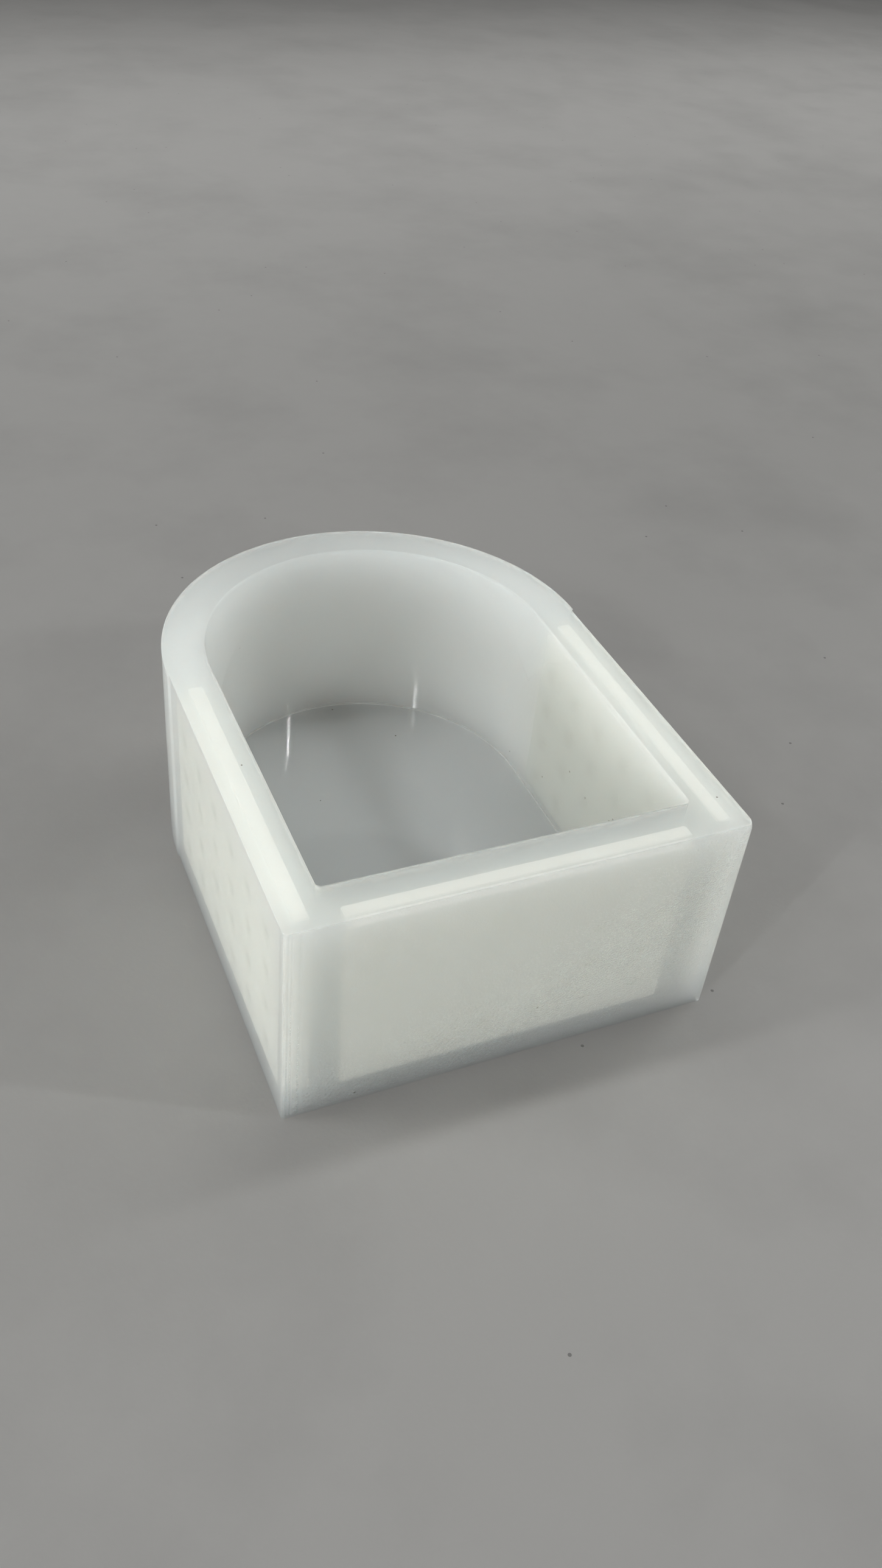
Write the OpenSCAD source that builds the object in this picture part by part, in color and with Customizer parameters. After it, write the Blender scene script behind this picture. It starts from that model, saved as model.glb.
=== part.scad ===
// Arch-shaped silicone casting mould, with a perforated stiffener plate cast
// into each of its three straight walls.
// The origin is at the middle of the overall length and width, on the underside.
// +X is to the right, +Y towards the arched back and +Z up.

/* [Silicone body] */
// Overall width, across the arched end
body_w = 124; // [110:1:150]
// Overall height, from the underside to the rim
body_h = 67.5; // [60:0.5:90]
// Length of the straight sides, from the front face to the arch's centre
straight_l = 102; // [100:1:130]
// Thickness of the front, side and arch walls
wall_t = 12; // [11:0.5:16]
// Thickness of the floor under the cavity
floor_t = 7; // [4:0.5:12]
// How far each straight side face stands inside the arch's outer face
arch_step = 0.3; // [0.1:0.1:0.8]
// Radius of the two upright outer corners at the front
outer_corner_r = 1; // [0.5:0.1:3]
// Radius of the two upright cavity corners at the front
cavity_corner_r = 1.5; // [0.5:0.1:4]

/* [Stiffener plates] */
// Length of each plate along its wall
plate_l = 92; // [80:1:96]
// Height of each plate
plate_h = 56; // [40:1:56]
// Thickness of each plate
plate_t = 4; // [2:0.5:4.5]
// Depth of silicone over each plate's top edge
plate_top_cover = 4.5; // [3:0.5:7]
// Silicone between the front plate and the front face
front_cover = 3; // [2:0.5:5]
// Silicone between the left plate and the left outer face
left_cover = 4; // [2:0.5:5]
// Silicone between the right plate and the right outer face
right_cover = 3; // [2:0.5:5]
// Distance from the front face to the near end of each side plate
side_plate_start = 5.5; // [4:0.5:6]

/* [Plate holes] */
// Diameter of each hole, filled by a silicone peg
hole_d = 3; // [2:0.5:6]
// Number of holes along a plate
hole_columns = 6; // [4:1:7]
// Number of holes up a plate
hole_rows = 4; // [3:1:5]
// Spacing of the holes along a plate
hole_pitch_l = 14.8; // [12:0.1:15]
// Spacing of the holes up a plate
hole_pitch_h = 12.8; // [9:0.1:13]

/* [Hidden] */
$fn = 96;

arch_r = body_w / 2;
body_l = straight_l + arch_r;
front_y = -body_l / 2;
arch_y = front_y + straight_l;
side_x = arch_r - arch_step;
cavity_r = arch_r - wall_t;
plate_z = body_h - plate_top_cover - plate_h;
side_plate_mid_y = front_y + side_plate_start + plate_l / 2;
overcut = 1;

silicone_colour = [0.85, 0.87, 0.85, 0.6];
plate_colour = [0.95, 0.95, 0.93];

// Arch-shaped plan: a straight front with rounded corners at y0, and a
// semicircle of radius arc_r about the arch's centre.
module arch_plan(half_w, arc_r, y0, corner_r) {
    translate([0, arch_y]) circle(r = arc_r, $fn = 180);
    translate([-half_w, y0 + corner_r])
        square([2 * half_w, arch_y - y0 - corner_r]);
    translate([-half_w + corner_r, y0])
        square([2 * (half_w - corner_r), 2 * corner_r]);
    for (side = [-1, 1])
        translate([side * (half_w - corner_r), y0 + corner_r])
            circle(r = corner_r, $fn = 48);
}

// One plate, standing on z = 0 in the XZ plane, centred on the origin in X and
// Y, with its grid of holes centred on it.
module perforated_plate() {
    difference() {
        translate([-plate_l / 2, -plate_t / 2, 0])
            cube([plate_l, plate_t, plate_h]);
        for (column = [0 : hole_columns - 1], row = [0 : hole_rows - 1])
            translate([
                (column - (hole_columns - 1) / 2) * hole_pitch_l,
                0,
                plate_h / 2 + (row - (hole_rows - 1) / 2) * hole_pitch_h
            ])
                rotate([90, 0, 0])
                    cylinder(d = hole_d, h = plate_t + 2 * overcut, center = true, $fn = 32);
    }
}

module front_plate_solid() {
    translate([0, front_y + front_cover + plate_t / 2, plate_z])
        perforated_plate();
}

// side is -1 for the left wall and 1 for the right wall
module side_plate_solid(side, cover) {
    translate([side * (side_x - cover - plate_t / 2), side_plate_mid_y, plate_z])
        rotate([0, 0, 90])
            perforated_plate();
}

// The casting fills every plate hole with a peg
module silicone_body() {
    color(silicone_colour)
        difference() {
            linear_extrude(height = body_h)
                arch_plan(side_x, arch_r, front_y, outer_corner_r);
            translate([0, 0, floor_t])
                linear_extrude(height = body_h - floor_t + overcut)
                    arch_plan(cavity_r, cavity_r, front_y + wall_t, cavity_corner_r);
            front_plate_solid();
            side_plate_solid(-1, left_cover);
            side_plate_solid(1, right_cover);
        }
}

module front_stiffener_plate() {
    color(plate_colour)
        front_plate_solid();
}

module left_stiffener_plate() {
    color(plate_colour)
        side_plate_solid(-1, left_cover);
}

module right_stiffener_plate() {
    color(plate_colour)
        side_plate_solid(1, right_cover);
}

silicone_body();
front_stiffener_plate();
left_stiffener_plate();
right_stiffener_plate();
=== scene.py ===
import math

import bmesh
import bpy
from mathutils import Matrix, Vector


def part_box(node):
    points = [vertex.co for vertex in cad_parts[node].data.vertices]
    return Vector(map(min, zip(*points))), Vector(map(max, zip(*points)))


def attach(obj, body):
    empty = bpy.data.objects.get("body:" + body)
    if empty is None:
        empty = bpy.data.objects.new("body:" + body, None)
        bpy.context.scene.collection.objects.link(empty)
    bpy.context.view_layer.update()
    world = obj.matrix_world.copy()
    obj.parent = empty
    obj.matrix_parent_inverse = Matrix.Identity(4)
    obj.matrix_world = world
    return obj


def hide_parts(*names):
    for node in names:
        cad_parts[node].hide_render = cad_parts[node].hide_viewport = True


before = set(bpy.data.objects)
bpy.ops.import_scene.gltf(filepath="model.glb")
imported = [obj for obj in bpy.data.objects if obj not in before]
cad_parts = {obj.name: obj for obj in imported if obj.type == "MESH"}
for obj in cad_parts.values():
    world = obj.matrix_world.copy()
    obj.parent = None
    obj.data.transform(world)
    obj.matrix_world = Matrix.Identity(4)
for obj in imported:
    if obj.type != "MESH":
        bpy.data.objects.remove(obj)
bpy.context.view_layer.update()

MM = 0.001

# ---------------------------------------------------------------- dimensions
# The frame gives the body's box; the rest are the part's own sizes.
LOW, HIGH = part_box("silicone_body")
ARCH_R = HIGH[0]
ARCH_Y = HIGH[1] - ARCH_R
FRONT_Y = LOW[1]
RIM_Z = HIGH[2]
WALL = 12 * MM
FLOOR_Z = 7 * MM
CAVITY_R = ARCH_R - WALL
ARCH_STEP = 0.3 * MM
STEP_RUN = 0.6 * MM          # the length over which a side wall steps out to the arch
SIDE_X = ARCH_R - ARCH_STEP

# Small shapes that the CAD leaves sharp or flat.
BASE_EDGE_R = 0.8 * MM
RIM_OUTER_R = 0.3 * MM
RIM_INNER_R = 0.15 * MM
CAVITY_FLOOR_R = 0.15 * MM
OUTER_CORNER_R = 1.0 * MM
CAVITY_CORNER_R = 1.5 * MM
WORN_CORNER_R = 1.5 * MM     # cut added to the front right corner at the rim
WORN_DEPTH = 2.5 * MM        # and how far down it reaches
RIGHT_TAPER = 0.4 * MM       # the right wall draws in towards the arch
# Joint marks on the front wall: (distance from the left corner, depth, half width)
JOINT_MARKS = [(1.3 * MM, 0.10 * MM, 0.35 * MM),
               (2.2 * MM, 0.12 * MM, 0.35 * MM),
               (4.4 * MM, 0.08 * MM, 0.8 * MM)]
RIM_SAG = 0.12 * MM          # the poured rim sinks between its edges

# Each zone's finish: (satin, milk). Satin 1 is a matt face; milk is the share of
# light that the face itself scatters.
OUTSIDE_FINISH = (1.0, 0.28)
RIM_FINISH = (0.6, 0.04)
CAVITY_FINISH = (0.1, 0.12)
FLOOR_FINISH = (0.0, 0.40)

# Faint sink marks over the pegs in the left and right walls: shallow dents, with painted
# shade darkening them in the colour.
PEG_COLUMNS, PEG_ROWS = 6, 4
PEG_PITCH = (14.8 * MM, 12.8 * MM)
PEG_SPREAD = 1.9 * MM
SINK_DEPTH = 0.15 * MM
PAINTED_SINK_SHADE = 0.13            # painted shade in the sink marks: how far their colour goes towards the dust's
RIGHT_SINK = 0.75            # the right wall's marks, dent and painted shade, as a share of the left wall's

# The visual plates have shallow recesses in place of the CAD's open holes.
HOLE_R = 1.5 * MM
RECESS = 0.7 * MM
PLATE_EDGE_R = 0.3 * MM

# How finely the silicone is divided: round the arch, along each side and so on.
ARC_STEPS = 120
SIDE_STEPS = 100
CORNER_STEPS = 6
FRONT_STEPS = 44
MARK_STEPS = 24              # over the MARK_SPAN that holds the joint marks
MARK_SPAN = 6 * MM
WALL_STEPS = 50
WORN_STEPS = 6
FILLET_STEPS = 4
NEAR = 0.01 * MM             # closer than this is on the face

# Colours are linear red, green and blue.
SILICONE_COLOUR = (0.88, 0.90, 0.88)
# The dust specks' colour, which the sink marks' painted shade also tends towards.
DUST_AND_SHADE_COLOUR = (0.22, 0.20, 0.16)
PLATE_COLOURS = (0.93, 0.94, 0.885), (0.95, 0.96, 0.91)
TABLE_COLOUR = (0.333, 0.329, 0.317)
TABLE_MARK_SHADE = 0.45      # a mark's colour, as a share of the table's

TABLE_HALF = 3.0
WORLD_STRENGTH = 0.155
MIDDLE = (0, 0, 0.03)
# Lamps: place, aim and size in metres, watts, and spread in degrees.
LAMPS = {
    "tube": ((0, 0.243, 1.40), MIDDLE, (3.2, 0.11), 8.6, 180),
    "side_left": ((-1.5, 0.0, 0.36), MIDDLE, (0.9, 0.5), 1.8, 180),
    "side_low": ((-1.2, -0.5, 0.20), MIDDLE, (0.6, 0.3), 0.66, 60),
    "side_right": ((1.5, 0.3, 0.5), MIDDLE, (0.9, 0.6), 5.4, 180),
    "front_right": ((0.9, -0.9, 0.25), MIDDLE, (0.6, 0.3), 0.12, 60),
    "left_high": ((-1.0, 0.30, 1.1), MIDDLE, (0.4, 0.11), 2.6, 180),
    "spot_left": ((-0.436, -0.334, 0.445), MIDDLE, (0.012, 0.05), 0.58, 180),
    "spot_right": ((0.380, -0.315, 0.440), MIDDLE, (0.012, 0.05), 0.64, 180),
    "far_fill": ((0.35, 1.3, 0.9), (0.35, 0.8, 0), (1.6, 0.5), 1.4, 50),
}

# The camera, in degrees and in the part's own frame.
CAMERA_PLACE = (-126.5 * MM, -279.3 * MM, 286.2 * MM)
CAMERA_AZIMUTH, CAMERA_ELEVATION, CAMERA_ROLL = -26.70, 39.77, 6.21
CAMERA_LENS = 31.15          # on a sensor 36 mm wide


# ---------------------------------------------------------------- silicone mesh
def mesh_object(name, bm):
    mesh = bpy.data.meshes.new(name)
    bm.to_mesh(mesh)
    bm.free()
    made = bpy.data.objects.new(name, mesh)
    bpy.context.scene.collection.objects.link(made)
    return made


def corner_arc(cx, cy, r, start):
    """Points round a quarter circle, from the angle start in quarter turns."""
    points = []
    for i in range(CORNER_STEPS + 1):
        a = 0.5 * math.pi * (start + i / CORNER_STEPS)
        points.append((cx + r * math.cos(a), cy + r * math.sin(a)))
    return points


def front_stations(x0, x1):
    """x positions along the front, closer together over the joint marks."""
    marks = [x0 + MARK_SPAN * i / MARK_STEPS for i in range(1, MARK_STEPS)]
    start = x0 + MARK_SPAN
    rest = [start + (x1 - start) * i / FRONT_STEPS for i in range(FRONT_STEPS)]
    return marks + rest


def arch_plan(half_w, arc_r, front_y, left_r, right_r, taper=0.0, marks=()):
    """The plan outline, anticlockwise from the right end of the arch."""
    arc = [math.pi * i / ARC_STEPS for i in range(ARC_STEPS + 1)]
    points = [(arc_r * math.cos(a), ARCH_Y + arc_r * math.sin(a)) for a in arc]
    step_y = ARCH_Y - STEP_RUN
    left_y, right_y = front_y + left_r, front_y + right_r
    for i in range(SIDE_STEPS):
        points.append((-half_w, step_y + (left_y - step_y) * i / SIDE_STEPS))
    points += corner_arc(-half_w + left_r, left_y, left_r, 2)
    for x in front_stations(-half_w + left_r, half_w - right_r):
        points.append((x, front_y + mark_depth(x + half_w, marks)))
    points += corner_arc(half_w - right_r, right_y, right_r, 3)
    for i in range(1, SIDE_STEPS + 1):
        t = i / SIDE_STEPS
        points.append((half_w - taper * t, right_y + (step_y - right_y) * t))
    return points


def mark_depth(along, marks):
    """Depth of the joint marks at a distance from the left corner."""
    depth = 0.0
    for centre, deep, half_width in marks:
        t = abs(along - centre) / half_width
        if t < 1:
            depth += deep * 0.5 * (1 + math.cos(math.pi * t))
    return depth


def outer_ring(inset, z):
    """The outside outline moved in by inset, at height z."""
    worn = max(0.0, 1 - (RIM_Z - z) / WORN_DEPTH) ** 2
    plan = arch_plan(
        SIDE_X - inset, ARCH_R - inset, FRONT_Y + inset,
        OUTER_CORNER_R, OUTER_CORNER_R + WORN_CORNER_R * worn,
        RIGHT_TAPER, JOINT_MARKS,
    )
    return [(x, y, z) for x, y in plan]


def cavity_ring(outset, z):
    """The cavity outline moved out by outset, at height z."""
    r = CAVITY_R + outset
    corner = CAVITY_CORNER_R + outset
    plan = arch_plan(r, r, FRONT_Y + WALL - outset, corner, corner)
    return [(x, y, z) for x, y in plan]


def quarter_turns():
    """sin and cos at each step of a fillet."""
    angles = [0.5 * math.pi * i / FILLET_STEPS for i in range(FILLET_STEPS + 1)]
    return [(math.sin(a), math.cos(a)) for a in angles]


def between(z0, z1):
    """The heights strictly between z0 and z1 at which a wall has a ring."""
    return [z0 + (z1 - z0) * i / WALL_STEPS for i in range(1, WALL_STEPS)]


def blend(ring_a, ring_b, t, z=None):
    """The ring a fraction t of the way from ring_a to ring_b, at z if given."""
    return [
        (ax + (bx - ax) * t, ay + (by - ay) * t, az + (bz - az) * t if z is None else z)
        for (ax, ay, az), (bx, by, bz) in zip(ring_a, ring_b)
    ]


def shrink(ring, factor):
    """The ring drawn in towards the middle of the part."""
    return [(x * factor, y * factor, z) for x, y, z in ring]


def outside_rings():
    """The underside, its rounded edge and the outside walls, going up."""
    edge = outer_ring(BASE_EDGE_R, 0)
    rings = [shrink(edge, f) for f in (0.3, 0.6, 0.9, 0.985)]
    for s, c in quarter_turns():
        rings.append(outer_ring(BASE_EDGE_R * (1 - s), BASE_EDGE_R * (1 - c)))
    rings += [outer_ring(0, z) for z in between(BASE_EDGE_R, RIM_Z - WORN_DEPTH)]
    for i in range(WORN_STEPS):
        z = RIM_Z - WORN_DEPTH + (WORN_DEPTH - RIM_OUTER_R) * i / WORN_STEPS
        rings.append(outer_ring(0, z))
    return rings


def rim_rings():
    """The poured rim: it rises a little at both edges, as liquid does."""
    rings = []
    for s, c in quarter_turns():
        rings.append(outer_ring(RIM_OUTER_R * (1 - c), RIM_Z - RIM_OUTER_R * (1 - s)))
    outside, inside = rings[-1], cavity_ring(RIM_INNER_R, RIM_Z)
    for t in (0.03, 0.1, 0.25, 0.5, 0.75, 0.9, 0.97):
        sag = RIM_SAG * (1 - (2 * t - 1) ** 8)
        rings.append(blend(outside, inside, t, RIM_Z - sag))
    for s, c in quarter_turns():
        rings.append(cavity_ring(RIM_INNER_R * (1 - s), RIM_Z - RIM_INNER_R * (1 - c)))
    return rings


def cavity_wall_rings():
    return [
        cavity_ring(0, z)
        for z in between(RIM_Z - RIM_INNER_R, FLOOR_Z + CAVITY_FLOOR_R)
    ]


def cavity_floor_rings():
    """The rounded foot of the cavity wall and the floor inside it."""
    rings = []
    for s, c in quarter_turns():
        rings.append(cavity_ring(
            -CAVITY_FLOOR_R * (1 - c), FLOOR_Z + CAVITY_FLOOR_R * (1 - s)
        ))
    rings += [shrink(rings[-1], f) for f in (0.98, 0.9, 0.6, 0.3)]
    return rings


def peg_centres(low, high, along):
    """(along, z) of each peg through the plate whose box is low, high."""
    mid_l, mid_z = (low[along] + high[along]) / 2, (low[2] + high[2]) / 2
    return [
        (mid_l + (c - (PEG_COLUMNS - 1) / 2) * PEG_PITCH[0],
         mid_z + (r - (PEG_ROWS - 1) / 2) * PEG_PITCH[1])
        for c in range(PEG_COLUMNS) for r in range(PEG_ROWS)
    ]


def sink(point, pegs):
    """How far a point of the skin is into a sink mark, from 0 to 1."""
    x, y, z = point
    on_left = x < -SIDE_X + NEAR
    on_right = abs(x - CAVITY_R) < NEAR
    if y > ARCH_Y or not (on_left or on_right):
        return 0.0
    strength = 1.0 if on_left else RIGHT_SINK
    return strength * max(
        math.exp(-((y - py) ** 2 + (z - pz) ** 2) / (2 * PEG_SPREAD ** 2))
        for py, pz in pegs
    )


def build_body():
    """One closed skin, with each vertex's finish and sink depth stored for the material,
    which paints shade into the sink marks.
    """
    zones = [
        (outside_rings(), OUTSIDE_FINISH), (rim_rings(), RIM_FINISH),
        (cavity_wall_rings(), CAVITY_FINISH), (cavity_floor_rings(), FLOOR_FINISH),
    ]
    bm = bmesh.new()
    pegs = peg_centres(*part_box("left_stiffener_plate"), along=1)
    loops, finishes_and_sinks = [], []
    for rings, (satin, milk) in zones:
        for ring in rings:
            loop = []
            for x, y, z in ring:
                depth = sink((x, y, z), pegs)
                loop.append(bm.verts.new((x + SINK_DEPTH * depth, y, z)))
                finishes_and_sinks.append((satin, milk, depth))
            loops.append(loop)
    for low, high in zip(loops, loops[1:]):
        for i in range(len(low)):
            j = (i + 1) % len(low)
            bm.faces.new((low[i], low[j], high[j], high[i]))
    bm.faces.new(loops[0][::-1])
    bm.faces.new(loops[-1])
    for face in bm.faces:
        face.smooth = True
    piece = mesh_object("silicone_shell", bm)
    for index, name in enumerate(("satin", "milk", "sink")):
        layer = piece.data.attributes.new(name, "FLOAT", "POINT")
        layer.data.foreach_set("value", [finish[index] for finish in finishes_and_sinks])
    return piece


# ---------------------------------------------------------------- plates
def recess_cutter(low, high, along):
    """A short disc at each end of each hole in a plate, to cut its recesses."""
    across = 1 - along
    upright_to_face = Matrix.Rotation(math.radians(90), 4, "X" if along == 0 else "Y")
    bm = bmesh.new()
    for centre, z in peg_centres(low, high, along):
        for face in (low[across], high[across]):
            place = (centre, face, z) if along == 0 else (face, centre, z)
            bmesh.ops.create_cone(
                bm, cap_ends=True, segments=20, radius1=HOLE_R, radius2=HOLE_R,
                depth=2 * RECESS, matrix=Matrix.Translation(place) @ upright_to_face,
            )
    return mesh_object("recess_cutter", bm)


def softened_box(name, low, high):
    """A box with rounded edges."""
    size = [b - a for a, b in zip(low, high)]
    middle = [(a + b) / 2 for a, b in zip(low, high)]
    bm = bmesh.new()
    bmesh.ops.create_cube(
        bm, size=1, matrix=Matrix.Translation(middle) @ Matrix.Diagonal((*size, 1))
    )
    bmesh.ops.bevel(bm, geom=bm.edges[:], offset=PLATE_EDGE_R, segments=3, affect="EDGES")
    return mesh_object(name, bm)


def build_plate(wall):
    """A stiffener plate with softened edges and a recess at each hole."""
    low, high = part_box(f"{wall}_stiffener_plate")
    piece = softened_box(f"{wall}_plate", low, high)
    cutter = recess_cutter(low, high, along=0 if wall == "front" else 1)
    cut = piece.modifiers.new("recesses", "BOOLEAN")
    cut.object = cutter
    cut.solver = "EXACT"
    view = bpy.context.evaluated_depsgraph_get()
    piece.data = bpy.data.meshes.new_from_object(piece.evaluated_get(view))
    piece.modifiers.clear()
    bpy.data.objects.remove(cutter)
    return piece


# ---------------------------------------------------------------- materials
def node(nt, kind, **inputs):
    """A new node with its inputs set; spaces in an input's name are underscores."""
    made = nt.nodes.new("ShaderNode" + kind)
    for name, value in inputs.items():
        made.inputs[name.replace("_", " ")].default_value = value
    return made


def noise(nt, scale, detail=3.0, roughness=0.5):
    """Noise in object space; scale is per metre."""
    tex = node(nt, "TexNoise", Scale=scale, Detail=detail, Roughness=roughness)
    place = nt.nodes.new("ShaderNodeTexCoord")
    nt.links.new(place.outputs["Object"], tex.inputs["Vector"])
    return tex.outputs["Fac"]


def remap(nt, value, low, high, to_low, to_high):
    """value's range low..high carried to to_low..to_high, held at the ends."""
    ranged = nt.nodes.new("ShaderNodeMapRange")
    for name, number in zip(
        ("From Min", "From Max", "To Min", "To Max"), (low, high, to_low, to_high)
    ):
        ranged.inputs[name].default_value = number
    nt.links.new(value, ranged.inputs["Value"])
    return ranged.outputs["Result"]


def combine(nt, operation, a, b):
    """A Math node on a and b, each a number or a socket."""
    math_node = nt.nodes.new("ShaderNodeMath")
    math_node.operation = operation
    for socket, value in zip(math_node.inputs, (a, b)):
        if isinstance(value, (int, float)):
            socket.default_value = value
        else:
            nt.links.new(value, socket)
    return math_node.outputs[0]


def specks(nt, scale, size, share, dimensions="3D"):
    """1 inside rare small specks and 0 elsewhere."""
    cells = node(nt, "TexVoronoi", Scale=scale)
    cells.voronoi_dimensions = dimensions
    place = nt.nodes.new("ShaderNodeTexCoord")
    nt.links.new(place.outputs["Object"], cells.inputs["Vector"])
    split = nt.nodes.new("ShaderNodeSeparateColor")
    nt.links.new(cells.outputs["Color"], split.inputs["Color"])
    near = combine(nt, "LESS_THAN", cells.outputs["Distance"], size)
    rare = combine(nt, "LESS_THAN", split.outputs["Red"], share)
    return combine(nt, "MULTIPLY", near, rare)


def tint(nt, fac, colour_0, colour_1):
    """A colour between colour_0 and colour_1 as fac goes from 0 to 1."""
    ramp = nt.nodes.new("ShaderNodeValToRGB")
    ramp.color_ramp.elements[0].color = (*colour_0, 1)
    ramp.color_ramp.elements[1].color = (*colour_1, 1)
    nt.links.new(fac, ramp.inputs["Fac"])
    return ramp.outputs["Color"]


def bump(nt, height, distance, strength=1.0):
    made = node(nt, "Bump", Strength=strength, Distance=distance)
    nt.links.new(height, made.inputs["Height"])
    return made


def new_material(name):
    mat = bpy.data.materials.new(name)
    mat.use_nodes = True
    return mat, mat.node_tree, mat.node_tree.nodes["Principled BSDF"]


def attribute(nt, name):
    """A value stored on each vertex of the mesh."""
    made = nt.nodes.new("ShaderNodeAttribute")
    made.attribute_name = name
    return made.outputs["Fac"]


def silicone_material():
    """Translucent silicone: a smooth skin round a lightly absorbing cloud."""
    mat, nt, skin = new_material("silicone")
    link = nt.links.new
    out = nt.nodes["Material Output"]
    satin = attribute(nt, "satin")
    skin.inputs["IOR"].default_value = 1.41
    link(combine(nt, "SUBTRACT", 1.0, attribute(nt, "milk")),
         skin.inputs["Transmission Weight"])

    cloudy = remap(nt, noise(nt, 90, 4), 0.35, 0.65, -0.02, 0.03)
    link(combine(nt, "ADD", remap(nt, satin, 0, 1, 0.045, 0.17), cloudy),
         skin.inputs["Roughness"])
    # Base colour: real dust specks, and painted shade darkening the sink marks' dents; both
    # tint towards the dust's colour.
    dust = specks(nt, 260, 0.07, 0.02)
    painted_shade = combine(nt, "MULTIPLY", attribute(nt, "sink"), PAINTED_SINK_SHADE)
    link(tint(nt, combine(nt, "MAXIMUM", dust, painted_shade), SILICONE_COLOUR, DUST_AND_SHADE_COLOUR),
         skin.inputs["Base Color"])

    grain = combine(nt, "MULTIPLY", noise(nt, 1500, 2), satin)
    swell = bump(nt, noise(nt, 38, 1.5), 0.25 * MM)
    fine = bump(nt, grain, 0.03 * MM)
    link(swell.outputs[0], fine.inputs["Normal"])
    link(fine.outputs[0], skin.inputs["Normal"])

    cloud = node(nt, "VolumeScatter", Color=(0.86, 0.95, 1.0, 1), Density=300, Anisotropy=0.6)
    dim = node(nt, "VolumeAbsorption", Color=(0.2, 0.25, 0, 1), Density=3.6)
    volume = nt.nodes.new("ShaderNodeAddShader")
    link(cloud.outputs[0], volume.inputs[0])
    link(dim.outputs[0], volume.inputs[1])
    link(volume.outputs[0], out.inputs["Volume"])

    # Lamps reach the cloud straight through the skin, which plain refraction blocks.
    choice = nt.nodes.new("ShaderNodeMixShader")
    path = nt.nodes.new("ShaderNodeLightPath")
    opening = node(nt, "BsdfTransparent", Color=(0.87, 0.87, 0.87, 1))
    link(path.outputs["Is Shadow Ray"], choice.inputs[0])
    link(skin.outputs[0], choice.inputs[1])
    link(opening.outputs[0], choice.inputs[2])
    link(choice.outputs[0], out.inputs["Surface"])
    return mat


def plate_material():
    """White plastic, with a faint grain."""
    mat, nt, bsdf = new_material("plate_plastic")
    link = nt.links.new
    mottle = remap(nt, noise(nt, 120, 4), 0.35, 0.65, 0, 1)
    link(tint(nt, mottle, *PLATE_COLOURS), bsdf.inputs["Base Color"])
    link(remap(nt, noise(nt, 300, 3), 0.3, 0.7, 0.5, 0.65), bsdf.inputs["Roughness"])
    link(bump(nt, noise(nt, 900, 2), 0.05 * MM).outputs[0], bsdf.inputs["Normal"])
    return mat


def table_material():
    """A pale table, with faint smudges and a few dark specks."""
    mat, nt, bsdf = new_material("pale_table")
    link = nt.links.new
    smudge = remap(nt, noise(nt, 9, 6, 0.6), 0.45, 0.8, 0, 0.30)
    speck = specks(nt, 45, 0.021, 0.08, "2D")
    marks = combine(nt, "MAXIMUM", smudge, speck)
    dark = tuple(TABLE_MARK_SHADE * c for c in TABLE_COLOUR)
    link(tint(nt, marks, TABLE_COLOUR, dark), bsdf.inputs["Base Color"])
    link(remap(nt, noise(nt, 40, 4), 0.3, 0.7, 0.5, 0.62), bsdf.inputs["Roughness"])
    link(bump(nt, noise(nt, 700, 3), 0.04 * MM).outputs[0], bsdf.inputs["Normal"])
    return mat


# ---------------------------------------------------------------- stage
def area_light(name, place, aim, size, watts, spread):
    data = bpy.data.lights.new(name, "AREA")
    data.shape = "RECTANGLE"
    data.size, data.size_y = size
    data.energy = watts
    data.spread = math.radians(spread)
    lamp = bpy.data.objects.new(name, data)
    lamp.location = place
    lamp.rotation_euler = (Vector(aim) - Vector(place)).to_track_quat("-Z", "Y").to_euler()
    bpy.context.scene.collection.objects.link(lamp)


def build_stage():
    bm = bmesh.new()
    bmesh.ops.create_grid(bm, x_segments=1, y_segments=1, size=TABLE_HALF)
    table = mesh_object("table", bm)
    table.data.materials.append(table_material())
    world = bpy.data.worlds.new("studio")
    world.use_nodes = True
    background = world.node_tree.nodes["Background"]
    background.inputs["Color"].default_value = (1, 1, 1, 1)
    background.inputs["Strength"].default_value = WORLD_STRENGTH
    bpy.context.scene.world = world
    for name, lamp in LAMPS.items():
        area_light(name, *lamp)


def build_camera():
    data = bpy.data.cameras.new("camera")
    data.sensor_width = 36
    data.lens = CAMERA_LENS
    data.clip_start = 10 * MM
    camera = bpy.data.objects.new("camera", data)
    turn = (
        Matrix.Rotation(math.radians(CAMERA_AZIMUTH), 4, "Z")
        @ Matrix.Rotation(math.radians(90 - CAMERA_ELEVATION), 4, "X")
        @ Matrix.Rotation(math.radians(CAMERA_ROLL), 4, "Z")
    )
    camera.matrix_world = Matrix.Translation(CAMERA_PLACE) @ turn
    bpy.context.scene.collection.objects.link(camera)
    bpy.context.scene.camera = camera


def set_light_paths():
    """Enough bounces for light to wander through the silicone, with no clamp."""
    cycles = bpy.context.scene.cycles
    cycles.sample_clamp_indirect = 0
    cycles.max_bounces = 128
    cycles.volume_bounces = 64
    cycles.transmission_bounces = 64
    cycles.diffuse_bounces = 8


build_stage()
build_camera()
set_light_paths()
bpy.context.scene.view_settings.view_transform = "Standard"

body = build_body()
body.data.materials.append(silicone_material())
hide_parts("silicone_body")
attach(body, "root")

white_plastic = plate_material()
for wall in ("front", "left", "right"):
    plate = build_plate(wall)
    plate.data.materials.append(white_plastic)
    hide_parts(f"{wall}_stiffener_plate")
    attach(plate, "root")
